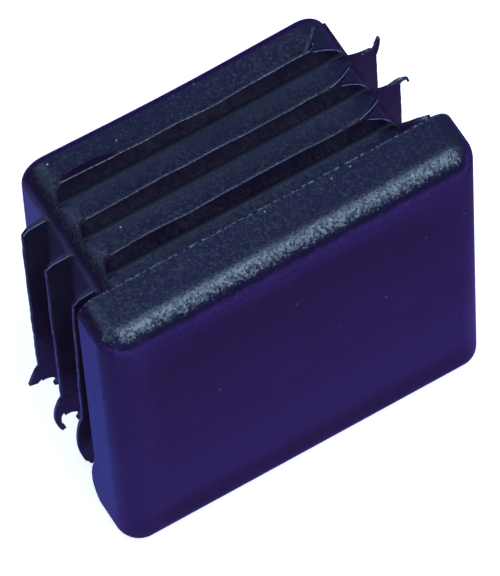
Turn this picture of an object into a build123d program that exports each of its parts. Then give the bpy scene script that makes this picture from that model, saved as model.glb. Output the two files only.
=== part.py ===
from build123d import *
import math
import os

# Ribbed end cap for a square tube, moulded in one piece.  Millimetres.
# X runs across the head, +Y is the way the plug goes into the tube and +Z is up.
# The origin is the middle of the head's outer face.

# The tube that the cap closes
tube_side = 30.0              # outside width of the tube, and of the head that covers its end
thinnest_wall = 1.0           # thinnest tube wall that the fins still grip
thickest_wall = 2.5           # thickest tube wall that the plug still enters

# Head
head_thickness = 4.7
head_edge_radius = 2.1        # rounding all round the outer face
head_corner_radius = 1.5      # rounding down the four corners
head_rear_radius = 0.25       # softened edge that meets the tube's cut end

# Plug
plug_length = 13.3
plug_clearance = 0.2          # each side, in a tube with the thickest wall
plug_corner_radius = 2.0
plug_nose_radius = 0.9        # lead-in round the open end
plug_wall = 1.8
face_thickness = 2.4          # skin that closes the head in front of the hollow
hollow_corner_radius = 0.8
hollow_floor_radius = 0.6
mouth_chamfer = 0.3

# Fins
fin_rows = 3
first_fin_gap = 2.5           # from the back of the head to the first row's tips
fin_pitch = 3.32
fin_squeeze = 0.4             # how far a fin tip bends, each side, in the thinnest-walled tube
fin_tip_thickness = 0.3
fin_lean = 0.15               # how far the front face leans away from the head, root to tip
fin_root_thickness = 0.4
fin_foot_radius = 0.2         # where the front face meets the plug
fin_nose_radius = 0.15        # rounding of the tip's edge that faces the head
level_end_setback = 1.0       # plug's side to the plain end of the fins above and below it
side_end_setback = 1.25       # plug's top to the plain end of the fins at its left and right
side_end_slope = 0.35         # how far the side fins' plain ends drop from root to tip
plain_end_chamfer = 0.5

# Split ends.  The mould opens at two corners across from each other, and there each fin
# ends in a curve from its tip line down to the plug.  Three points shape the curve: how
# far each lies back from the plug's side, and how far down from the fin's tip line.
top_split_end = ((2.4, 0.4), (1.3, 1.1), (0.2, 3.1))
left_split_end = ((1.4, 0.1), (-0.2, 1.4), (0.1, 3.1))
full_split_end = ((-0.6, 0.35), (-0.95, 1.1), (0.1, 3.1))     # left fin next to the head, unbitten
short_split_end = ((1.95, 0.45), (1.75, 1.3), (1.25, 2.2))
split_end_slope = 0.6         # length of the slope from the tip line to the curve's first point
bite_radius = 0.85            # round bite out of the left fins' split ends
bite_setback = 0.55
bite_depth = 0.45
flash_setback = 1.2           # from the plug's top to the line where the mould's slides meet
flash_thickness = 0.12

# A whisker of flash stands at the tip of each split end, torn and bent in its own way:
# where it starts back from the plug's side, its length, the way it leaves the fin (degrees
# outwards), how far it curls, how far it turns towards the open end, and its tip's width.
whisker_root_width = 0.95
whisker_thickness = 0.25
top_whiskers = (
    (4.3, 3.4, 3, 62, 0, 0.16),
    (4.3, 3.1, 7, 60, 0, 0.16),
    (3.3, 2.2, 20, 30, 35, 0.16),
)
right_whiskers = (
    (2.2, 0.9, 25, 110, -25, 0.16),
    (2.1, 1.3, 15, 185, -12, 0.16),
    (3.2, 2.45, 34, -26, 0, 0.16),
)
bottom_whiskers = (
    (3.0, 2.0, 18, -24, 6, 0.16),
    (3.1, 2.3, 20, -36, -10, 0.2),
    (2.9, 1.8, 14, -20, 12, 0.16),
)
left_whiskers = (
    (6.3, 7.05, 19, -40, 0, 0.85),
    (3.8, 4.42, 35, -57, 0, 0.24),
    (3.4, 2.2, 31, -12, 0, 0.75),
)

# Sizes that follow
head_half = tube_side / 2
plug_half = head_half - thickest_wall - plug_clearance
fin_half = head_half - thinnest_wall + fin_squeeze
fin_root = plug_half - plug_corner_radius     # fins reach in as far as the rounded corners do
hollow_half = plug_half - plug_wall
total_depth = head_thickness + plug_length
same_plane = 0.001            # how near two places are to count as one

# The plug's diagonals: the sides are the upper and lower ones mirrored in them
split_diagonal = Plane(origin=(0, 0, 0), z_dir=(1, 0, -1))
plain_diagonal = Plane(origin=(0, 0, 0), z_dir=(1, 0, 1))


def section_at(y):
    """The plane across the cap at y, facing into the tube."""
    return Plane(origin=(0, y, 0), x_dir=(1, 0, 0), z_dir=(0, 1, 0))


def square_bar(half, corner_radius, front, back):
    """A square bar along Y with rounded corners."""
    outline = RectangleRounded(2 * half, 2 * half, corner_radius)
    return extrude(section_at(front) * outline, amount=back - front)


def rim_at(bar, y):
    """The edges of a bar that lie in the plane at y."""
    return bar.edges().filter_by_position(Axis.Y, y - same_plane, y + same_plane)


def make_head():
    plate = Pos(0, head_thickness / 2, 0) * Box(tube_side, head_thickness, tube_side)
    plate = fillet(rim_at(plate, 0), head_edge_radius)
    # each corner runs down the side and on through the mitre of the rounded edges
    nearest_corner = head_half - head_edge_radius
    corners = [edge for edge in plate.edges()
               if min(abs(edge.center().X), abs(edge.center().Z)) > nearest_corner]
    plate = fillet(corners, head_corner_radius)
    return fillet(rim_at(plate, head_thickness), head_rear_radius)


def make_plug():
    # starts inside the head, so that the two join through their full section
    plug = square_bar(plug_half, plug_corner_radius, face_thickness, total_depth)
    return fillet(rim_at(plug, total_depth), plug_nose_radius)


def make_hollow():
    hollow = square_bar(hollow_half, hollow_corner_radius, face_thickness, total_depth)
    hollow = fillet(rim_at(hollow, face_thickness), hollow_floor_radius)
    mouth = RectangleRounded(2 * hollow_half, 2 * hollow_half, hollow_corner_radius)
    flare = extrude(section_at(total_depth - mouth_chamfer) * mouth, amount=mouth_chamfer, taper=-45)
    return hollow + flare


def blade_section(front):
    """The fin's wedge section: flat towards the head, thinning to a rounded tip."""
    turn = 1 - math.sqrt(0.5)
    root = front - fin_lean
    foot = ThreePointArc(
        (root - fin_foot_radius, plug_half),
        (root - turn * fin_foot_radius, plug_half + turn * fin_foot_radius),
        (root, plug_half + fin_foot_radius),
    )
    nose = ThreePointArc(
        (front, fin_half - fin_nose_radius),
        (front + turn * fin_nose_radius, fin_half - turn * fin_nose_radius),
        (front + fin_nose_radius, fin_half),
    )
    back = Polyline(
        nose @ 1,
        (front + fin_tip_thickness, fin_half),
        (root + fin_root_thickness, plug_half),
        (root + fin_root_thickness, fin_root),
        (root - fin_foot_radius, fin_root),
        foot @ 0,
    )
    return Plane.YZ * make_face(foot + Line(foot @ 1, nose @ 0) + nose + back)


def blade_outline(end_setback, end_slope, split_end):
    """The fin seen from the head, with its plain end at -X and its split end at +X."""
    plain_end = end_setback - plug_half
    plain_tip = plain_end + end_slope
    step, shoulder, foot = [(plug_half - back, fin_half - down) for back, down in split_end]
    edge = Polyline(
        (foot[0], fin_root),
        (plain_end, fin_root),
        (plain_end, plug_half),
        (plain_tip, fin_half - plain_end_chamfer),
        (plain_tip + plain_end_chamfer, fin_half),
        (step[0] - split_end_slope, fin_half),
        step,
    )
    return make_face(edge + ThreePointArc(step, shoulder, foot) + Line(foot, edge @ 0))


def whisker(setback, length, leaving, curl, turn, tip_width):
    """A thin tapered hook of flash, rooted in the fin's tip line and bent in an arc."""
    def side(share, sign):
        bent = math.radians(curl * share)
        chord = length * share
        width = whisker_root_width + (tip_width - whisker_root_width) * share
        return (
            chord * math.cos(bent / 2) - sign * width / 2 * math.sin(bent),
            chord * math.sin(bent / 2) + sign * width / 2 * math.cos(bent),
        )

    outer = ThreePointArc(side(0, 1), side(0.5, 1), side(1, 1))
    inner = ThreePointArc(side(1, -1), side(0.5, -1), side(0, -1))
    hook = make_face(outer + Line(outer @ 1, inner @ 0) + inner + Line(inner @ 1, outer @ 0))
    hook = extrude(Plane.XZ * hook, amount=-whisker_thickness)
    root = Pos(plug_half - setback, 0, fin_half - whisker_root_width / 2)
    return root * Rot(0, -leaving, 0) * Rot(0, 0, turn) * hook


def make_fin(front, end_setback, end_slope, split_end, bend, bite=None):
    """A fin on top of the plug, its split end at +X."""
    outline = blade_outline(end_setback, end_slope, split_end)
    if bite:
        outline = outline - bite
    foot = front - fin_lean - fin_foot_radius
    slab = extrude(Plane.XZ.offset(-foot) * outline, amount=-(fin_foot_radius + fin_root_thickness))
    wedge = extrude(blade_section(front), amount=tube_side, both=True)
    return (slab & wedge) + Pos(0, front, 0) * whisker(*bend)


def make_fins():
    half_turn = Rot(0, 180, 0)
    bite = Pos(plug_half - bite_setback, fin_half - bite_depth) * Circle(bite_radius)
    fins = []
    for row in range(fin_rows):
        front = head_thickness + first_fin_gap + row * fin_pitch
        top = make_fin(front, level_end_setback, 0, top_split_end, top_whiskers[row])
        if row == 0:
            split_end, cut = full_split_end, None
        else:
            split_end, cut = left_split_end, bite
        left = make_fin(
            front, side_end_setback, side_end_slope, split_end, left_whiskers[row], cut
        )
        right = make_fin(
            front, side_end_setback, side_end_slope, short_split_end, right_whiskers[row]
        )
        bottom = make_fin(front, level_end_setback, 0, short_split_end, bottom_whiskers[row])
        fins.append(top)
        fins.append(mirror(left, plain_diagonal))
        fins.append(mirror(right, split_diagonal))
        fins.append(half_turn * bottom)
    return fins


def make_flash():
    """The lines of flash down the split corners, level with the plug's sides."""
    length = plug_length - plug_nose_radius
    line = Box(plug_corner_radius, length, flash_thickness)
    middle = (plug_half - plug_corner_radius / 2, head_thickness + length / 2, plug_half - flash_setback)
    line = Pos(*middle) * line
    return [line, mirror(line, plain_diagonal)]


end_cap = make_head() + make_plug()
end_cap = end_cap + make_fins() + make_flash()
end_cap = end_cap - make_hollow()

os.makedirs("parts", exist_ok=True)
export_step(end_cap, "parts/end_cap.step")
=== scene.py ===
"""Ribbed end cap for a square tube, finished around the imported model.

Metres, in the cap's own frame: X across the head, +Y into the tube, +Z up, with the origin in
the middle of the head's outer face.
"""

import math

import bmesh
import bpy
from mathutils import Euler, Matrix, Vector, noise


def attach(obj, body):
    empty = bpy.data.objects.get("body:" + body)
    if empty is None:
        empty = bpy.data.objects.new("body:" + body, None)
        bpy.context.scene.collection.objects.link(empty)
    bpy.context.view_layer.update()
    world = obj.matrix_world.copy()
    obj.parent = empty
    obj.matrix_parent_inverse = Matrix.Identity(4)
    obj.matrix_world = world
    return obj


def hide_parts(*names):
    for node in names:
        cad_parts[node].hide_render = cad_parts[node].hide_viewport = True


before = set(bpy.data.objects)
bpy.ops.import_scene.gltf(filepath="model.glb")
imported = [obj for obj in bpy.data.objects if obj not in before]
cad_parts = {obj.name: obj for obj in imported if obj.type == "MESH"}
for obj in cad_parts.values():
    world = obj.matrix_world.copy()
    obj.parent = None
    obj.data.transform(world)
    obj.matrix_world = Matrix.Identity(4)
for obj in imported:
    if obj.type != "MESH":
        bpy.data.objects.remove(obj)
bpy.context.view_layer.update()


# ---------------------------------------------------------------------------------------------
# The cap: head, hollow plug and fins, injection moulded in one piece from dark indigo
# polyethylene.  The thin walls of the plug have pulled in a little at the open end, and the
# tips of the soft fins wander and are slightly ragged.

MM = 0.001

# How far the sides of the head and the plug and the fins' tips lie from the cap's middle line,
# and how far the head's back, the plug's open end and the rows of fins lie from its face.
HEAD_SIDE = 15.0 * MM
PLUG_SIDE = 12.3 * MM
FIN_TIP = 14.4 * MM
HEAD_BACK = 4.7 * MM
PLUG_END = 18.0 * MM
FIN_ROWS = (7.2 * MM, 10.52 * MM, 13.84 * MM)     # the front of each row's tips
FINS_START = FIN_ROWS[0] - 0.4 * MM               # just ahead of the first row's foot
FINS_STOP = FIN_ROWS[2] + 1.3 * MM                # a little behind the last row

# What bends is first cut into strips, so that it bends in a smooth curve.
STRIP = 0.45 * MM              # width of the strips across and up the plug and the fins
STRIPS_REACH = 13.2 * MM       # how far out from the middle they go
RING = 2.1 * MM                # width of the strips along the plug
FIRST_RING = HEAD_BACK + 1.3 * MM
ON_PLANE = 0.00001 * MM        # a point this near a cut counts as on it


def cut_strips(mesh, direction, spacing, start, stop, front=HEAD_BACK):
    """Cut what lies behind the front into strips across a direction."""
    place = start
    while place < stop:
        faces = [face for face in mesh.faces if face.calc_center_median().y > front]
        edges = {edge for face in faces for edge in face.edges}
        points = {point for face in faces for point in face.verts}
        bmesh.ops.bisect_plane(
            mesh,
            geom=[*faces, *edges, *points],
            dist=ON_PLANE,
            plane_co=direction * place,
            plane_no=direction,
        )
        place += spacing


def hump(value, low, high):
    """0 at low and high, 1 half way between."""
    share = (value - low) / (high - low)
    return 4 * share * (1 - share) if 0 < share < 1 else 0


# The fins: each tip wanders and is nicked in its own way.  Shares are of the height of a fin,
# from the plug's side to its tip.
LOWEST_BEND = 0.1              # share below which a fin is stiff
BEYOND_TIP = 1.01              # share above which it is a whisker, which keeps its shape
TIP_SHARE = 0.9                # share above which it is its tip
TIP_MIDDLE = 0.1 * MM          # from a tip's front to the middle of its thickness
TIP_WANDER = 0.14 * MM         # how far a tip strays at most towards or away from the head
WANDERS = 330                  # bends of a tip in each metre
NICK_DEPTH = 0.06 * MM         # how deep its nicks are at most
NICKS = 2300                   # nicks in each metre
ROW_SHIFT = (7.3, 3.1)         # from row to row, how far on in the noise of bends and of nicks
SHORT_SIDE = 0.12 * MM         # the fins on the left are a little shorter
LONG_SIDE = 0.20 * MM          # and the fins on the right a little longer
LEFT_LEAN = 0.022              # the first of them leans in at the top and out lower down
LEAN_START = -9 * MM           # height above which it leans
LEAN_PIVOT = -1 * MM           # height at which it stands straight

# On top of the last row, near its plain end, a flake of the tip stands up behind its edge.
FLAKE_LEFT, FLAKE_RIGHT = -11.2 * MM, -6.0 * MM
FLAKE_HEIGHT = 0.62 * MM
FLAKE_SPLAY = 0.15 * MM        # how far it bends back
FLAKE_FRONT = 0.22 * MM        # how much of the tip's thickness stays in front of it
FLAKE_TEARS = 0.3              # how ragged its edge is, as a share of its height


def bend_tips(point):
    """Let a fin's tip wander a little and give its edge small nicks."""
    x, y, z = point.co
    share = (max(abs(x), abs(z)) - PLUG_SIDE) / (FIN_TIP - PLUG_SIDE)
    if share < LOWEST_BEND or share > BEYOND_TIP:
        return
    row = min(range(3), key=lambda number: abs(y - FIN_ROWS[number] - TIP_MIDDLE))
    slow = noise.noise(Vector((x * WANDERS, row * ROW_SHIFT[0], z * WANDERS)))
    quick = noise.noise(Vector((x * NICKS, row * ROW_SHIFT[1] + 40, z * NICKS)))
    at_edge = share > TIP_SHARE
    nick = NICK_DEPTH * max(0, quick + 0.1) if at_edge else 0
    point.co.y += TIP_WANDER * share * share * slow
    if abs(z) >= abs(x):
        point.co.z -= math.copysign(nick, z)
        if at_edge and row == 2 and z > 0 and y - FIN_ROWS[2] > FLAKE_FRONT:
            raised = hump(x, FLAKE_LEFT, FLAKE_RIGHT)
            point.co.y += FLAKE_SPLAY * raised
            point.co.z += FLAKE_HEIGHT * raised * (0.85 + FLAKE_TEARS * quick)
        return
    point.co.x -= math.copysign(nick, x)
    if x > 0:
        point.co.x += LONG_SIDE * share
        return
    point.co.x += SHORT_SIDE * share
    if row == 0 and z > LEAN_START:
        point.co.x += LEFT_LEAN * share * (z - LEAN_PIVOT)


# The plug's walls: pulled in or pressed out, most at the open end.
WALL_SAG = 0.36 * MM           # upper and lower walls, inwards
WALL_BULGE = 0.12 * MM         # the other two walls, outwards


def warp_walls(point):
    """Pull the upper and lower walls in and press the side walls out."""
    x, y, z = point.co
    along = (y - HEAD_BACK) / (PLUG_END - HEAD_BACK)
    if along <= 0:
        return
    pull = along * along
    point.co.z -= WALL_SAG * pull * (z / PLUG_SIDE) * max(0, 1 - (x / PLUG_SIDE) ** 2) ** 2
    point.co.x += WALL_BULGE * pull * (x / PLUG_SIDE) * max(0, 1 - (z / PLUG_SIDE) ** 2)


# A thin burr hangs from the head's back edge, low on the left.
BURR_LENGTH = 0.5 * MM
BURR_SPLAY = 0.15 * MM         # how far it bends outwards
BURR_BOTTOM, BURR_TOP = -13.6 * MM, -7.6 * MM
BURR_ROOT = 0.3 * MM           # width of the rounded edge that it is drawn from
SAME_PLACE = 0.01 * MM         # what counts as no distance


def raise_burr(point):
    """Draw out the burr from the head's back edge."""
    x, y, z = point.co
    if x < BURR_ROOT - HEAD_SIDE and HEAD_BACK - BURR_ROOT < y < HEAD_BACK + SAME_PLACE:
        drawn = hump(z, BURR_BOTTOM, BURR_TOP)
        point.co.y += BURR_LENGTH * drawn
        point.co.x -= BURR_SPLAY * drawn


# The fins' ends: the front edge of each gets a narrow bevel, painted as a bright highlight.
END_BEVEL = 0.05 * MM
SPLIT_ENDS = 7 * MM            # the top fins' split ends lie to the right of this
PLAIN_ENDS = 7 * MM            # the left fins' plain ends lie above this
FOOT_HEIGHT = 0.1 * MM         # an end starts this far from the plug's side
WHISKER_ROOT = 0.2 * MM        # and stops this far from the tip line, where a whisker starts


def at_fin_end(place):
    """Whether a place is on a top fin's split end or on the plain end of a fin on the left."""
    x, y, z = place
    last_whisker = y > FIN_ROWS[2] - 0.4 * MM and z > FIN_TIP
    above_foot = z > PLUG_SIDE + FOOT_HEIGHT
    split = x > SPLIT_ENDS and above_foot and abs(z - FIN_TIP) > WHISKER_ROOT
    plain = x < -PLUG_SIDE - FOOT_HEIGHT and PLAIN_ENDS < z < PLUG_SIDE
    return FINS_START < y < FINS_STOP and (plain or split and not last_whisker)


def is_end_edge(edge):
    """Whether an edge of a fin's end lies between its front and a face across it."""
    middle = (edge.verts[0].co + edge.verts[1].co) / 2
    if len(edge.link_faces) != 2 or not at_fin_end(middle):
        return False
    front, end = sorted(face.normal.y for face in edge.link_faces)
    upper = max(face.normal.z for face in edge.link_faces)
    return front < -0.8 and abs(end) < 0.4 and (middle.x > 0 or upper > 0.3)


# How a fin's faces are marked for the material's scuffs, painted highlights and painted shade.
UNWORN, RUBBED_AND_LIT, BRIGHT, CUT = 0.0, 1.0, 2.0, -1.0
RUBBED_REACH = 1.0 * MM        # how far down from the tip line it is rubbed


def mark_wear_and_light(face):
    """Rubbed and painted lit at the tip, a painted highlight on an end's bevel, painted shade on
    the rest of its cut narrow faces.
    """
    x, y, z = face.calc_center_median()
    reach = max(abs(x), abs(z))
    beyond_plug = reach >= PLUG_SIDE + 0.15 * MM
    in_rows = FIN_ROWS[0] - 0.2 * MM < y < FIN_ROWS[2] + 1.1 * MM
    on_front_or_back = abs(face.normal.y) > 0.85
    if not beyond_plug or not in_rows or on_front_or_back:
        return UNWORN
    if at_fin_end((x, y, z)) and (x > 0 or face.normal.z > 0.2):
        return BRIGHT if face.normal.y < -0.5 else CUT
    return RUBBED_AND_LIT if reach > FIN_TIP - RUBBED_REACH else CUT


JOIN_DISTANCE = 0.0001 * MM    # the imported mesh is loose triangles, whose corners are joined
SHARP_CORNER = math.radians(32)

cap_mesh = bmesh.new()
cap_mesh.from_mesh(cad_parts["end_cap"].data)
bmesh.ops.remove_doubles(cap_mesh, verts=cap_mesh.verts, dist=JOIN_DISTANCE)
cut_strips(cap_mesh, Vector((1, 0, 0)), STRIP, -STRIPS_REACH, STRIPS_REACH)
cut_strips(cap_mesh, Vector((0, 0, 1)), STRIP, -STRIPS_REACH, STRIPS_REACH)
cut_strips(cap_mesh, Vector((0, 1, 0)), RING, FIRST_RING, PLUG_END)
burr_stop = BURR_TOP + 0.6 * MM                   # a little past the burr's end
cut_strips(cap_mesh, Vector((0, 0, 1)), 2 * STRIP, BURR_BOTTOM, burr_stop, HEAD_BACK - BURR_ROOT)
for point in cap_mesh.verts:
    if FINS_START < point.co.y < FINS_STOP:
        bend_tips(point)
for point in cap_mesh.verts:
    warp_walls(point)
    raise_burr(point)
cap_mesh.normal_update()
bmesh.ops.bevel(
    cap_mesh,
    geom=[edge for edge in cap_mesh.edges if is_end_edge(edge)],
    offset=END_BEVEL,
    affect="EDGES",
    segments=1,
    profile=0.5,
    material=-1,
)
cap_mesh.normal_update()
wear_and_light_layer = cap_mesh.faces.layers.float.new("wear_and_light")
for face in cap_mesh.faces:
    face.smooth = True
    face[wear_and_light_layer] = mark_wear_and_light(face)
for edge in cap_mesh.edges:
    edge.smooth = edge.calc_face_angle(0) < SHARP_CORNER
cap_data = bpy.data.meshes.new("moulded_cap")
cap_mesh.to_mesh(cap_data)
cap_mesh.free()
cap = bpy.data.objects.new("moulded_cap", cap_data)
bpy.context.scene.collection.objects.link(cap)
even = cap.modifiers.new("even_shading", "WEIGHTED_NORMAL")
even.mode = "FACE_AREA"
even.weight = 100
even.keep_sharp = True


# The moulded plastic: dark indigo, satin, with a fine grain on its outside.  Its broad tones,
# paler and deeper, are painted light and shade in its colour.


class Wire:
    """A value in a material.  Sums written with wires add their own Math nodes."""

    def __init__(self, tree, socket):
        self.tree = tree
        self.socket = socket

    def node(self, kind, settings=None, values=None, output=0):
        """Add a node: its settings first, then the values or wires of its sockets."""
        made = self.tree.nodes.new(kind)
        for name, setting in (settings or {}).items():
            setattr(made, name, setting)
        for name, value in (values or {}).items():
            if isinstance(value, Wire):
                self.tree.links.new(value.socket, made.inputs[name])
            else:
                made.inputs[name].default_value = value
        return Wire(self.tree, made.outputs[output] if made.outputs else None)

    def maths(self, operation, *values):
        """A Math node on wires and numbers."""
        return self.node("ShaderNodeMath", {"operation": operation}, dict(enumerate(values)))

    def __add__(self, other):
        return self.maths("ADD", self, other)

    def __radd__(self, other):
        return self.maths("ADD", other, self)

    def __sub__(self, other):
        return self.maths("SUBTRACT", self, other)

    def __rsub__(self, other):
        return self.maths("SUBTRACT", other, self)

    def __mul__(self, other):
        return self.maths("MULTIPLY", self, other)

    def __rmul__(self, other):
        return self.maths("MULTIPLY", other, self)

    def __abs__(self):
        return self.maths("ABSOLUTE", self)

    def parts(self):
        """The three numbers of a vector or a colour."""
        split = self.node("ShaderNodeSeparateXYZ", values={0: self}).socket.node
        return [Wire(self.tree, output) for output in split.outputs]

    def rise(self, low, high):
        """0 below low, 1 above high, and smooth between."""
        return self.node(
            "ShaderNodeMapRange",
            {"interpolation_type": "SMOOTHSTEP"},
            {"Value": self, "From Min": low, "From Max": high},
        )

    def band(self, low, full, fading, gone):
        """0 outside a band and 1 within it, smooth from low to full and from fading to gone."""
        return self.rise(low, full) * (1 - self.rise(fading, gone))

    def mixed(self, first, second):
        """The first colour where this wire is 0, the second where it is 1."""
        return self.node(
            "ShaderNodeMix",
            {"data_type": "RGBA"},
            {0: self, 6: first, 7: second},
            output=2,
        )


def new_material(name):
    """An empty material, and a wire to start its nodes from."""
    material = bpy.data.materials.new(name)
    material.use_nodes = True
    material.node_tree.nodes.clear()
    return material, Wire(material.node_tree, None)


# Where a point is on the cap and how its surface faces.  A facing runs from -1 to 1, and is 1
# where the surface faces straight that way.
plastic, start = new_material("indigo_plastic")
place = start.node("ShaderNodeTexCoord", output="Object")
across, along, height = place.parts()
sideways, toward_tube, upward = start.node("ShaderNodeNewGeometry", output="Normal").parts()
forward = 0 - toward_tube
reach = start.maths("MAXIMUM", abs(across), abs(height))
behind_head = along.rise(HEAD_BACK + 0.02 * MM, HEAD_BACK + 0.1 * MM)
on_head = 1 - behind_head
# Marks of scuffs, painted highlights and painted shade on the fins' faces.
wear_and_light = start.node("ShaderNodeAttribute", {"attribute_name": "wear_and_light"}, output="Fac")


def cloud(size, detail, roughness, shift=0.0):
    """Soft noise of a size, from 0 to 1.  A shift gives another stretch of it."""
    moved = start.node(
        "ShaderNodeMapping", values={"Vector": place, "Location": (shift, shift, shift)}
    )
    return start.node(
        "ShaderNodeTexNoise",
        values={"Vector": moved, "Scale": 1 / size, "Detail": detail, "Roughness": roughness},
    )


# Indigo with faint violet clouds, coarse ones and fine ones.
INDIGO = (0.0242, 0.0126, 0.061, 1)
VIOLET = (0.0296, 0.0130, 0.078, 1)
COARSE_CLOUDS = 3.5 * MM
FINE_CLOUDS = 0.24 * MM
mottle = cloud(COARSE_CLOUDS, 3.0, 0.55, 0.031)
tint = cloud(FINE_CLOUDS, 3.0, 0.7, 0.023)
colour = (mottle * 0.5 + tint * 0.5).rise(0.42, 0.58).mixed(INDIGO, VIOLET)

# The head's face is painted with light and shade: painted reflection, paler, low down, under its
# upper edge and down its left side, and painted shade, deeper, in its upper third and along its
# lower edge.  The bands are heights: where one starts, where it is full, where it starts to fade
# and where it is gone.
PAINTED_LIGHT = (0.0385, 0.0220, 0.108, 1)
PAINTED_SHADE = (0.0100, 0.0045, 0.014, 1)
PAINTED_LIGHT_BAND = (-11.5 * MM, -9 * MM, -8 * MM, -1 * MM)
UPPER_SHADE_BAND = (0, 10 * MM, 11.2 * MM, 12.8 * MM)
LOWER_SHADE_BAND = (-13.2 * MM, -12.2 * MM, -11.8 * MM, -10 * MM)
face = forward.rise(0.6, 0.95) * on_head
brow_light = height.rise(12 * MM, 13 * MM) * forward.rise(0.94, 0.99) * 0.35
flank_light = (0 - across).rise(11 * MM, 13.3 * MM) * forward.rise(0.2, 0.5) * on_head * 0.8
upper_corner = abs(across).rise(7 * MM, 13 * MM) * height.rise(9 * MM, 12 * MM)
inner = 1 - 0.8 * abs(across).rise(10.5 * MM, 14 * MM)
shade_bands = height.band(*UPPER_SHADE_BAND) * (1 - upper_corner) * 0.8 + height.band(*LOWER_SHADE_BAND) * 0.8
colour = (face * height.band(*PAINTED_LIGHT_BAND) + brow_light + flank_light).mixed(colour, PAINTED_LIGHT)
colour = (face * inner * shade_bands).mixed(colour, PAINTED_SHADE)

# Upper surfaces are painted greyer, as painted light from above, with slate and plum flecks in
# the grain.  The rounding in front of them and the roundings on their left are painted deeper,
# as painted shade.
SLATE = (0.0165, 0.0185, 0.0420, 1)
PLUM = (0.0215, 0.0140, 0.0500, 1)
top_light_and_flecks = tint.rise(0.42, 0.6).mixed(SLATE, PLUM)
shoulder_shade = (0 - sideways).rise(0.45, 0.65) * upward.rise(0.35, 0.6) * 0.8
brim_shade = forward.rise(0.68, 0.82) * upward.rise(0.42, 0.55) * on_head * 0.5
colour = upward.rise(0.3, 0.9).mixed(colour, top_light_and_flecks)
colour = (shoulder_shade + brim_shade).mixed(colour, PAINTED_SHADE)

# The rounding at the open end and the cut ends of the fins are painted a darker violet, as
# painted shade.
SHADED_VIOLET = (0.0240, 0.0060, 0.0560, 1)
nose = toward_tube.rise(0.12, 0.38) * upward.rise(0.1, 0.3)
cut_end = (0 - wear_and_light).rise(0.2, 0.8)
colour = (nose + cut_end * 0.7).mixed(colour, SHADED_VIOLET)

# The fins' fronts are painted a deep violet, as painted shade in the channels.  A greyer painted
# light lies on the left and right ones and on the plug's walls between them, and gives way to
# painted shade higher up.
PAINTED_LIGHT_WALLS = (0.0760, 0.0620, 0.1120, 1)
CHANNEL = (0.0200, 0.0085, 0.0300, 1)
LIT_SIDE_FINS = (0.0600, 0.0420, 0.0720, 1)
walls = abs(sideways).rise(0.85, 0.98) * behind_head
channel = forward.rise(0.3, 0.8) * behind_head
beside = (abs(across) - abs(height)).rise(0, 0.3 * MM) * behind_head
shade_higher_up = 0.7 * height.rise(5.5 * MM, 10.5 * MM)
colour = walls.mixed(colour, (shade_higher_up * 0.5).mixed(PAINTED_LIGHT_WALLS, CHANNEL))
colour = channel.mixed(colour, (beside * (1 - shade_higher_up)).mixed(CHANNEL, LIT_SIDE_FINS))

# Each fin is dull at its foot, and painted dark there above and below the plug, as painted
# shade.
FOOT_SHADE = (0.0130, 0.0130, 0.0270, 1)
ROUGHNESS = 0.22
FOOT_ROUGHNESS = 0.82
near_plug = 1 - reach.rise(PLUG_SIDE + 0.15 * MM, PLUG_SIDE + 0.35 * MM)
foot = behind_head * near_plug * forward.rise(0.08, 0.25)
colour = (foot * (1 - beside)).mixed(colour, FOOT_SHADE)

# The line of flash down the corner is torn here and there.
SEAM_HEIGHT = 11.1 * MM
SEAM_INSIDE = 11.8 * MM        # it lies to the right of this
TEARS = 0.9 * MM
on_line = 1 - abs(height - SEAM_HEIGHT).rise(0.07 * MM, 0.1 * MM)
whole = cloud(TEARS, 2.0, 0.7, 0.117).rise(0.40, 0.5)
seam = on_line * across.rise(SEAM_INSIDE, SEAM_INSIDE + 0.1 * MM) * behind_head * whole
colour = seam.mixed(colour, CHANNEL)

# Pale beads on the fins' tips, which rub on the tube, are partly scuffs and partly painted
# highlight; a painted highlight in beads lies on the head's back edge, and one without a break
# on the bright bevels of the fins' ends.
SCUFF_AND_HIGHLIGHT = (0.190, 0.235, 0.310, 1)
BEADS = 0.5 * MM
BACK_EDGE = (4.40 * MM, 4.52 * MM, 4.72 * MM, 4.78 * MM)
beads = cloud(BEADS, 2.0, 0.7, 0.091).rise(0.42, 0.68)
back_edge_highlight = along.band(*BACK_EDGE) * reach.rise(HEAD_SIDE - 0.4 * MM, HEAD_SIDE - 0.2 * MM)
back_edge_highlight = back_edge_highlight * (0.1 + 0.8 * height.rise(13 * MM, 14.5 * MM))
tip = wear_and_light.rise(0.2, 0.9)
rubbed_and_lit = tip * (0.06 + 0.36 * beside)
bright_bevel = wear_and_light.rise(1.2, 1.8) * 0.8
colour = ((rubbed_and_lit + back_edge_highlight) * beads + bright_bevel).mixed(colour, SCUFF_AND_HIGHLIGHT)

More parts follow.
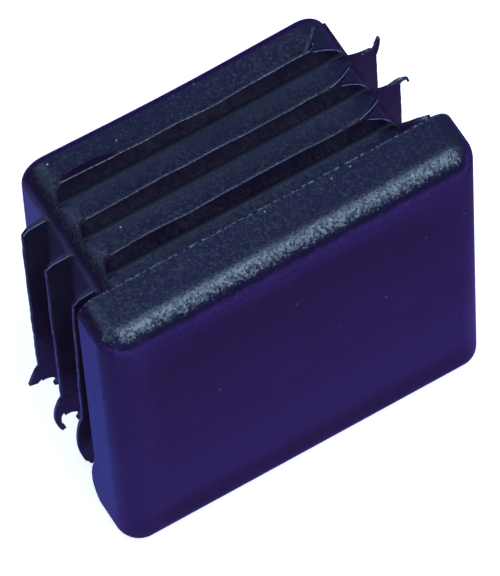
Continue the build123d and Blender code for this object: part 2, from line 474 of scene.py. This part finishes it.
# Specks of dust, most of them on the upper side and a few on the face.
DUST = (0.50, 0.56, 0.62, 1)
DUST_ABOVE = 1.7 * MM          # about how far apart they lie on the upper side
DUST_IN_FRONT = 3.4 * MM       # and on the face
flat_cells = {"feature": "F1", "distance": "EUCLIDEAN", "voronoi_dimensions": "2D"}
SPECK = (0.020, 0.060)         # a speck's solid middle and its edge, as shares of that
CHOSEN = (0.84, 0.90)          # what share of the places stays empty
for spread, second, dusty in (
    (DUST_ABOVE, along, upward.rise(0.7, 0.9)),
    (DUST_IN_FRONT, height, forward.rise(0.9, 0.95) * on_head * 0.3),
):
    spot = start.node("ShaderNodeCombineXYZ", values={0: across, 1: second})
    scattered = {"Vector": spot, "Scale": 1 / spread}
    distance = start.node("ShaderNodeTexVoronoi", flat_cells, scattered, output="Distance")
    number = start.node("ShaderNodeTexVoronoi", flat_cells, scattered, output="Color")
    chance, brightness, _ = number.parts()
    speck = (1 - distance.rise(*SPECK)) * chance.rise(*CHOSEN)
    colour = (speck * (brightness * 0.8 + 0.1) * dusty).mixed(colour, DUST)

# The relief: shallow waves, as a moulded face has, and a fine grain, which is weaker on the
# upright faces.
WAVE = 5 * MM
WAVE_DEPTH = 0.03 * MM
GRAIN = 0.16 * MM
GRAIN_DEPTH = 0.020 * MM
coarse = 0.28 + 0.72 * upward.rise(0.0, 0.6)
waves = cloud(WAVE, 1.0, 0.4, 0.057)
grain = cloud(GRAIN, 2.0, 0.6)
waved = start.node(
    "ShaderNodeBump",
    values={"Height": waves, "Strength": 1.0, "Distance": WAVE_DEPTH},
)
bump = start.node(
    "ShaderNodeBump",
    values={"Height": grain * coarse, "Strength": 1.0, "Distance": GRAIN_DEPTH, "Normal": waved},
)

# The grain is broken into facets that are tilted each in its own way, so that they glint.
FACET = 0.16 * MM
FACET_TILT = 0.20
cells = {"feature": "F1", "distance": "EUCLIDEAN"}
facet = start.node(
    "ShaderNodeTexVoronoi", cells, {"Vector": place, "Scale": 1 / FACET}, output="Color"
)
MIDDLE = (0.5, 0.5, 0.5)       # the mean of a facet's random vector
tilt = start.node("ShaderNodeVectorMath", {"operation": "SUBTRACT"}, {0: facet, 1: MIDDLE})
steep = {0: tilt, "Scale": FACET_TILT * coarse}
tilt = start.node("ShaderNodeVectorMath", {"operation": "SCALE"}, steep)
tilted = start.node("ShaderNodeVectorMath", {"operation": "ADD"}, {0: bump, 1: tilt})
tilted = start.node("ShaderNodeVectorMath", {"operation": "NORMALIZE"}, {0: tilted})

# The gloss differs from facet to facet, and most of all in the coarse grain.  The channels,
# the torn seam, the open end, the cut ends and the first fins' tips have little or none.
facet_gloss = facet.parts()[1].rise(0.2, 0.8)
lip = tip * forward.rise(0.2, 0.5) * (1 - along.rise(9 * MM, 14 * MM))
gloss = 0.5 + (facet_gloss - 0.5) * coarse
gloss = gloss * (1 - foot) * (1 - channel) * (1 - seam) * (1 - 0.95 * lip)
gloss = gloss * (1 - 0.85 * nose) * (1 - 0.7 * cut_end)
DULL_SHEEN = 0.25
SHINY_SHEEN = 0.75
dull, shiny = (
    start.node(
        "ShaderNodeBsdfPrincipled",
        values={
            "Base Color": colour,
            "Roughness": ROUGHNESS + foot * (FOOT_ROUGHNESS - ROUGHNESS),
            "IOR": 1.5,
            "Specular IOR Level": sheen,
            "Normal": tilted,
        },
    )
    for sheen in (DULL_SHEEN, SHINY_SHEEN)
)
shader = start.node("ShaderNodeMixShader", values={0: gloss, 1: dull, 2: shiny})
start.node("ShaderNodeOutputMaterial", values={"Surface": shader})
cap_data.materials.clear()
cap_data.materials.append(plastic)
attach(cap, "root")
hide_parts("end_cap")


# ---------------------------------------------------------------------------------------------
# The floor and the backdrop: one plain sweep of pale paper, white to the camera.  The cap
# doesn't see that white.  It sees a violet glow there, which tints its gloss and its matt
# surfaces, and a dark room around it.

FLOOR_DROP = -15.0 * MM
FLOOR_REACH = 1.2
PAPER = (0.8, 0.8, 0.8, 1)
PAPER_LIGHT = 0.75             # what the paper adds to the light on it, so that it reads white
WHITE = (1, 1, 1, 1)

# What the cap's gloss meets on the floor: around the cap, along its left side, at the far sides
# and a little way ahead, and what the floor throws on its matt surfaces.
NEAR_GLOW = (0.143, 0.075, 0.464, 1)
LEFT_GLOW = (0.096, 0.123, 0.62, 1)
SIDE_GLOW = (0.084, 0.051, 0.235, 1)
AHEAD_GLOW = (0.361, 0.189, 1.185, 1)
FLOOR_BOUNCE = (0.16, 0.12, 0.36, 1)
DARK_ROOM = (0.012, 0.012, 0.014, 1)

floor_mesh = bmesh.new()
bmesh.ops.create_grid(floor_mesh, x_segments=1, y_segments=1, size=FLOOR_REACH)
bmesh.ops.translate(floor_mesh, verts=floor_mesh.verts, vec=(0, 0, FLOOR_DROP))
floor_data = bpy.data.meshes.new("floor")
floor_mesh.to_mesh(floor_data)
floor_mesh.free()
floor = bpy.data.objects.new("floor", floor_data)
bpy.context.scene.collection.objects.link(floor)

paper, page = new_material("floor_paper")
floor_x, floor_y, _ = page.node("ShaderNodeTexCoord", output="Object").parts()
ahead = 0 - floor_y
left_strip = (0 - floor_x).rise(12 * MM, 16 * MM) * floor_y.rise(0, 7 * MM)
far_sides = abs(floor_x).rise(17.5 * MM, 31 * MM) * floor_y.rise(-30 * MM, 0)
tone = left_strip.mixed(NEAR_GLOW, LEFT_GLOW)
tone = far_sides.mixed(tone, SIDE_GLOW)
tone = ahead.rise(18 * MM, 50 * MM).mixed(tone, AHEAD_GLOW)
tone = ahead.rise(100 * MM, 500 * MM).mixed(tone, SIDE_GLOW)
tone = page.node("ShaderNodeLightPath", output="Is Glossy Ray").mixed(FLOOR_BOUNCE, tone)
glow = page.node("ShaderNodeEmission", values={"Color": tone, "Strength": 1.0})
lit = page.node("ShaderNodeBsdfDiffuse", values={"Color": PAPER})
white = page.node("ShaderNodeEmission", values={"Color": WHITE, "Strength": PAPER_LIGHT})
shown = page.node("ShaderNodeAddShader", values={0: lit, 1: white})
seen = page.node("ShaderNodeLightPath", output="Is Camera Ray")
sheet = page.node("ShaderNodeMixShader", values={0: seen, 1: glow, 2: shown})
page.node("ShaderNodeOutputMaterial", values={"Surface": sheet})
floor_data.materials.append(paper)

world = bpy.data.worlds.new("studio")
bpy.context.scene.world = world
world.use_nodes = True
world.node_tree.nodes.clear()
sky = Wire(world.node_tree, None)
shade = sky.node("ShaderNodeLightPath", output="Is Camera Ray").mixed(DARK_ROOM, WHITE)
air = sky.node("ShaderNodeBackground", values={"Color": shade, "Strength": 1.0})
sky.node("ShaderNodeOutputWorld", values={"Surface": air})


# ---------------------------------------------------------------------------------------------
# The lamps, all of them soft boxes at one distance: a big one in front and above, a smaller
# one under it, and weak fills at the sides and behind.  Two low ones behind light the sides
# that are turned away, and don't show in the gloss.

LAMP_DISTANCE = 0.6
COOL_WHITE = (0.68, 0.975, 1.20)
COOLER_WHITE = (0.64, 0.97, 1.25)


def soft_box(name, turn, rise, width, height, brightness, colour=COOL_WHITE, mirrored=True):
    """A soft box at a turn to the right of straight ahead and a rise above the floor.

    Its width and height are how wide and high it looks from the cap, in degrees.  A box that
    isn't mirrored lights the cap without showing in its gloss.
    """
    lamp = bpy.data.lights.new(name, "AREA")
    lamp.shape = "RECTANGLE"
    lamp.size = 2 * LAMP_DISTANCE * math.tan(math.radians(width / 2))
    lamp.size_y = 2 * LAMP_DISTANCE * math.tan(math.radians(height / 2))
    lamp.energy = brightness * math.pi * lamp.size * lamp.size_y
    lamp.color = colour
    turn, rise = math.radians(turn), math.radians(rise)
    towards = Vector((
        math.sin(turn) * math.cos(rise),
        -math.cos(turn) * math.cos(rise),
        math.sin(rise),
    ))
    holder = bpy.data.objects.new(name, lamp)
    holder.visible_glossy = mirrored
    holder.location = towards * LAMP_DISTANCE
    holder.rotation_euler = (-towards).to_track_quat("-Z", "Y").to_euler()
    bpy.context.scene.collection.objects.link(holder)


soft_box("front_box", 27, 72, 40, 28, 4.6)
soft_box("low_front_box", 18, 48, 40, 22, 2.6)
soft_box("back_fill", -150, 61, 45, 40, 0.72)
soft_box("left_fill", -88, 32, 40, 36, 1.7, COOLER_WHITE)
soft_box("back_left_box", -152, 12, 28, 22, 3.0, mirrored=False)
soft_box("back_right_box", 144, 10, 24, 20, 4.5, mirrored=False)
soft_box("right_fill", 95, 40, 40, 40, 0.2)


# ---------------------------------------------------------------------------------------------
# The camera: in front of the cap, above it and to its left.  Its long lens keeps the head's
# edges nearly parallel.

SENSOR = 36
LENS = 440.4
CAMERA_PLACE = (-111.0 * MM, -210.2 * MM, 436.0 * MM)
CAMERA_TURN = (29.145, 2.109, -30.777)            # degrees about X, Y and Z

camera_data = bpy.data.cameras.new("camera")
camera_data.sensor_width = SENSOR
camera_data.lens = LENS
camera_data.clip_start = 0.01
camera_data.clip_end = 10
camera = bpy.data.objects.new("camera", camera_data)
camera.location = CAMERA_PLACE
camera.rotation_euler = Euler([math.radians(turn) for turn in CAMERA_TURN])
bpy.context.scene.collection.objects.link(camera)
bpy.context.scene.camera = camera
bpy.context.scene.view_settings.view_transform = "Standard"
